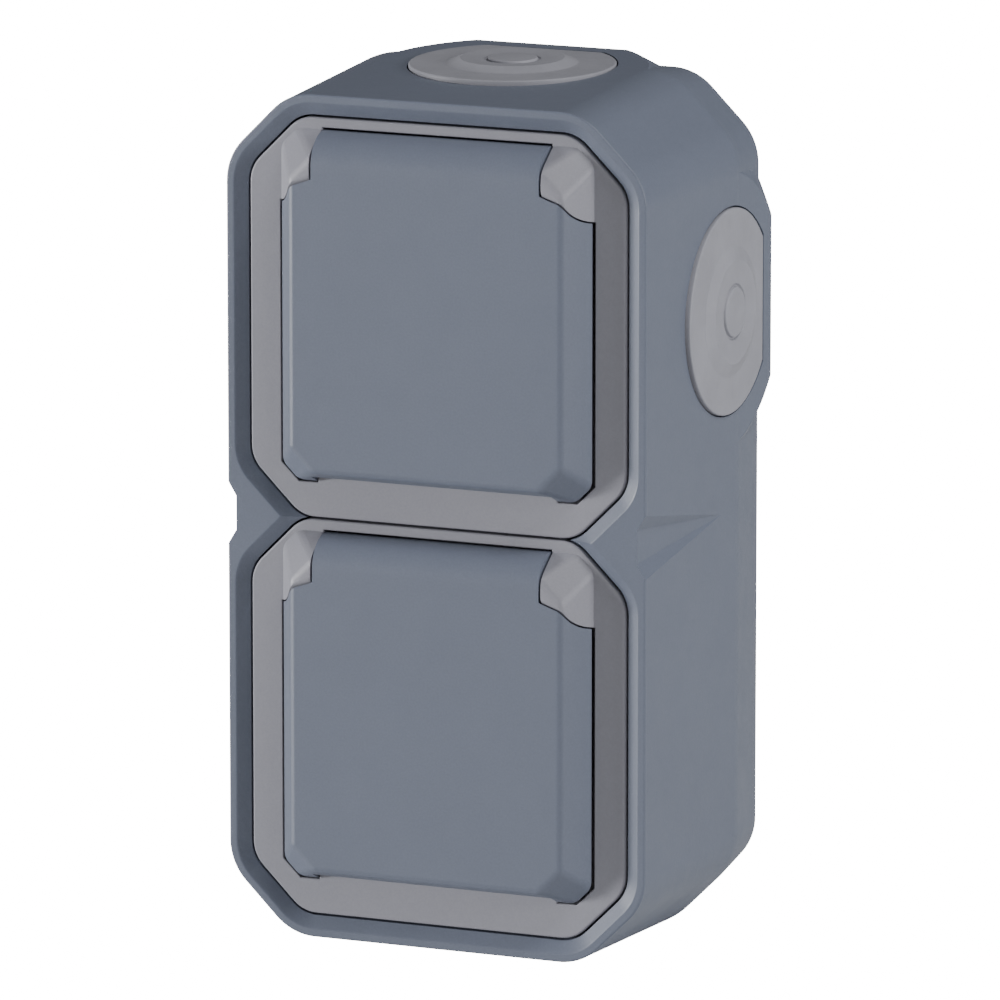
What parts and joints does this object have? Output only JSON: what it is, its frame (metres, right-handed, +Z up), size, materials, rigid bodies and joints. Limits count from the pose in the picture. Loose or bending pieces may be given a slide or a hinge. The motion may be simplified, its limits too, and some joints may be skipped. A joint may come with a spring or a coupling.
{
  "type": "surface-mounted splash-proof double socket outlet",
  "caption": "Splash-proof double earthed socket outlet for wall mounting, one gang above the other, each with a spring-closed cover hinged at its top; cable grommets in the top and right walls.",
  "frame": {"origin": "on the wall plane at the middle of the housing's back face", "axes": "+Z up, the covers face -Y, +X to the viewer's right, the wall is the plane Y = 0"},
  "size_m": [0.084, 0.0569, 0.155],
  "materials": {
    "slate_grey_plastic": "fine satin texture",
    "light_grey_plastic": "fine satin texture",
    "grey_elastomer": "matt, soft",
    "black_rubber": "matt",
    "pale_grey_insert": "satin",
    "dark_grey_shutter": "matt",
    "white_carrier": "matt",
    "plated_steel": "zinc plated",
    "contact_brass": "plain"
  },
  "bodies": {
    "box": {"housing": "slate_grey_plastic", "top_cable_grommet": "grey_elastomer", "right_cable_grommet": "grey_elastomer", "upper_bezel": "light_grey_plastic", "upper_hinge_pin": "plated_steel", "upper_cover_spring": "plated_steel", "upper_socket_well": "pale_grey_insert", "upper_shutter_spring": "plated_steel", "upper_contact_carrier": "white_carrier", "upper_earth_clip": "contact_brass", "upper_support_frame": "plated_steel", "upper_frame_gasket": "black_rubber", "upper_centre_screw": "plated_steel", "upper_live_contact": "contact_brass", "upper_live_terminal_screw": "plated_steel", "upper_left_frame_screw": "plated_steel", "upper_neutral_contact": "contact_brass", "upper_neutral_terminal_screw": "plated_steel", "upper_right_frame_screw": "plated_steel", "lower_bezel": "light_grey_plastic", "lower_hinge_pin": "plated_steel", "lower_cover_spring": "plated_steel", "lower_socket_well": "pale_grey_insert", "lower_shutter_spring": "plated_steel", "lower_contact_carrier": "white_carrier", "lower_earth_clip": "contact_brass", "lower_support_frame": "plated_steel", "lower_frame_gasket": "black_rubber", "lower_centre_screw": "plated_steel", "lower_live_contact": "contact_brass", "lower_live_terminal_screw": "plated_steel", "lower_left_frame_screw": "plated_steel", "lower_neutral_contact": "contact_brass", "lower_neutral_terminal_screw": "plated_steel", "lower_right_frame_screw": "plated_steel"},
    "upper_cover": {"upper_cover": "slate_grey_plastic", "upper_cover_seal": "black_rubber"},
    "upper_shutter": {"upper_shutter": "dark_grey_shutter"},
    "lower_cover": {"lower_cover": "slate_grey_plastic", "lower_cover_seal": "black_rubber"},
    "lower_shutter": {"lower_shutter": "dark_grey_shutter"}
  },
  "joints": [
    {"name": "upper_cover_hinge", "type": "hinge", "parent": "box", "child": "upper_cover", "pos_m": [0, -0.0513, 0.063], "axis": [-1, 0, 0], "range_deg": [0, 105], "stiffness_Nm_per_rad": 0.012, "springref_deg": -22.92, "deforming": ["upper_cover_spring"]},
    {"name": "upper_shutter_slide", "type": "slide", "parent": "box", "child": "upper_shutter", "axis": [0, 0, 1], "range_m": [0, 0.0065], "stiffness_N_per_m": 60, "springref_m": -0.003, "deforming": ["upper_shutter_spring"]},
    {"name": "lower_cover_hinge", "type": "hinge", "parent": "box", "child": "lower_cover", "pos_m": [0, -0.0513, -0.008], "axis": [-1, 0, 0], "range_deg": [0, 105], "stiffness_Nm_per_rad": 0.012, "springref_deg": -22.92, "deforming": ["lower_cover_spring"]},
    {"name": "lower_shutter_slide", "type": "slide", "parent": "box", "child": "lower_shutter", "axis": [0, 0, 1], "range_m": [0, 0.0065], "stiffness_N_per_m": 60, "springref_m": -0.003, "deforming": ["lower_shutter_spring"]}
  ]
}
